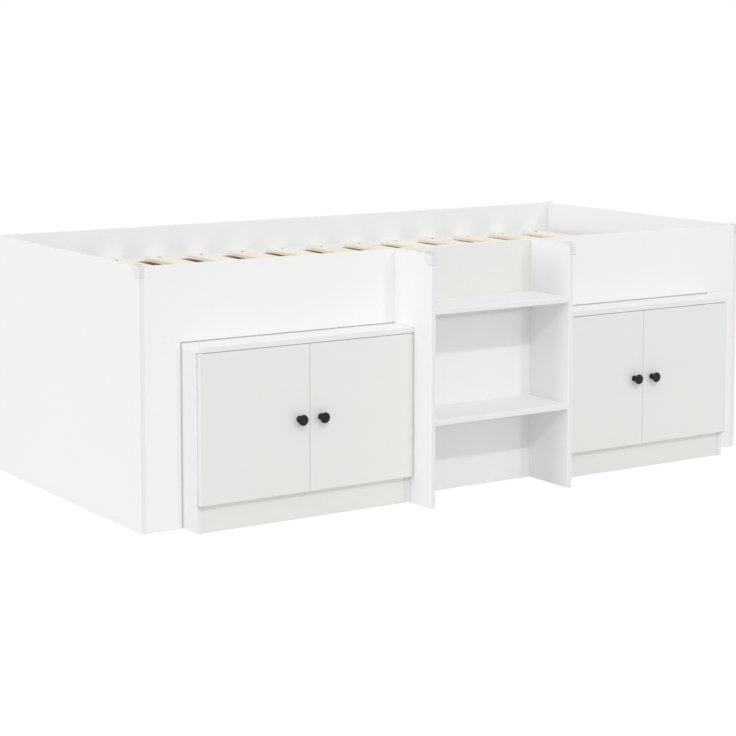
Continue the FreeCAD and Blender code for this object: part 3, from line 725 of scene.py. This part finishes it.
def turned(profile, steps):
    """Poles and rings of a profile carried round an axis: radius times cosine and sine, and height."""
    angle = np.linspace(0, 2 * math.pi, steps, endpoint=False)
    radius, height = profile[1:-1, :1], profile[1:-1, 1:]
    rings = np.stack([radius * np.cos(angle), radius * np.sin(angle), height + 0 * angle], -1)
    poles = np.array([(0, 0, profile[0, 1]), (0, 0, profile[-1, 1])])
    return poles, rings


knob_poles, knob_rings = turned(smooth_profile(KNOB_PROFILE, PROFILE_STEPS), ROUND_STEPS)
knob_spots = {}
for name in sorted(n for n in nodes if n.endswith("_knob")):
    low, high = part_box(name)
    body = name.replace("_knob", "_door")
    foot = ((low.x + high.x) / 2, high.y, (low.z + high.z) / 2)
    knob_spots[body] = foot
    ringed_piece(f"{name}_turned", set_out(knob_poles, [foot], "-Y"), set_out(knob_rings, [foot], "-Y"), knob_black,
                 body, "knob_black", name)

# %% [markdown]
# A screw head is a shallow dome or a flat disc with a cross sunk into it. On a grid of radius and angle its height is
# the dome less the cross, and the cross is where a point is close to one of two lines through the middle.

# %% Screw heads
HEAD_STEPS = 64
HEAD_RINGS = 16
CROSS_FLANK, CROSS_REACH, CROSS_END, CROSS_DEPTH = 0.5, 0.62, 0.2, 0.6
SLAT_HEAD = {"radius": 0.0042, "rise": 0.0007, "rim": 0.0004, "cross": 0.0007}
SLAT_SCREW_INSET = 0.026


def screw_head(radius, rise, rim, cross):
    """Poles and rings of a head: rise times one minus the square of the radius on a straight rim, less a cross of that
    half width whose flanks slope, and a flat underside."""
    share = np.linspace(0, 1, HEAD_RINGS)[1:, None]
    angle = np.linspace(0, 2 * math.pi, HEAD_STEPS, endpoint=False)[None, :]
    x, y = radius * share * np.cos(angle), radius * share * np.sin(angle)
    off_line, along = np.minimum(np.abs(x), np.abs(y)), np.maximum(np.abs(x), np.abs(y))
    sunk = np.clip((cross - off_line) / (CROSS_FLANK * cross), 0, 1)
    sunk = sunk * np.clip((CROSS_REACH * radius - along) / (CROSS_END * radius), 0, 1)
    depth = rim + CROSS_DEPTH * rise
    top = np.stack([x, y, rim + rise * (1 - share**2) - sunk * depth], -1)
    foot = top[-1:] * np.array((1, 1, 0))
    poles = np.array([(0, 0, 0), (0, 0, rim + rise - depth)])
    return poles, np.concatenate([foot, top[::-1]])


def screws(name, places, head, facing, material, body, slot):
    """Copies of a head at places, all facing one way, as one mesh."""
    poles, rings = head
    ringed_piece(name, set_out(poles, places, facing), set_out(rings, places, facing), material, body, slot)


slat_x = (np.arange(SLAT_COUNT) + 0.5) * slat_pitch - inner_half
slat_y = np.array([slat_low.y + SLAT_SCREW_INSET, slat_high.y - SLAT_SCREW_INSET])
spots = np.stack([*(g.ravel() for g in np.meshgrid(slat_x, slat_y)), np.full(2 * SLAT_COUNT, slat_high.z)], -1)
screws("slat_screws", spots, screw_head(**SLAT_HEAD), "+Z", black_steel, "bed", "knob_black")

# %% [markdown]
# Each knob is held from behind by a pan head screw. Each hinge bracket has two flat screws through its leg, and each
# strike plate one. They show only when a door is open.

# %% Hidden screws
BRACKET_SCREW_HEIGHTS = np.array((0.014, 0.030))
pan_head = screw_head(radius=0.0042, rise=0.0016, rim=0.0008, cross=0.0007)
flat_head = screw_head(radius=0.0030, rise=0.00005, rim=0.00015, cross=0.0005)
plate_head = screw_head(radius=0.0026, rise=0.00002, rim=0.0001, cross=0.0005)

for body, (x, _, z) in knob_spots.items():
    screws(f"{body}_knob_screw", [(x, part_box(body)[1].y, z)], pan_head, "+Y", zinc, body, "steel")
    low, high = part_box(body.replace("_door", "_strike_plate"))
    middle = ((low.x + high.x) / 2, high.y, (low.z + high.z) / 2)
    screws(f"{body}_strike_screw", [middle], plate_head, "+Y", zinc, body, "steel")

bracket_low, bracket_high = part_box("pivot_brackets")
leg_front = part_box("left_cabinet_left_side")[0].y
hinge_x = np.array([joint["pos_m"][0] for joint in frame["joints"]])
leg_heights = np.concatenate([bracket_low.z + BRACKET_SCREW_HEIGHTS, bracket_high.z - BRACKET_SCREW_HEIGHTS])
x, z = (g.ravel() for g in np.meshgrid(hinge_x, leg_heights))
screws("bracket_screws", np.stack([x, np.full(x.shape, leg_front), z], -1), flat_head, "-Y", zinc, "bed", "steel")

# %% [markdown]
# Last, the box of the finished bed is printed.

# %% Sizes and finish
low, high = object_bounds()
print("visual box", [round(v, 4) for v in (*low, *high)])
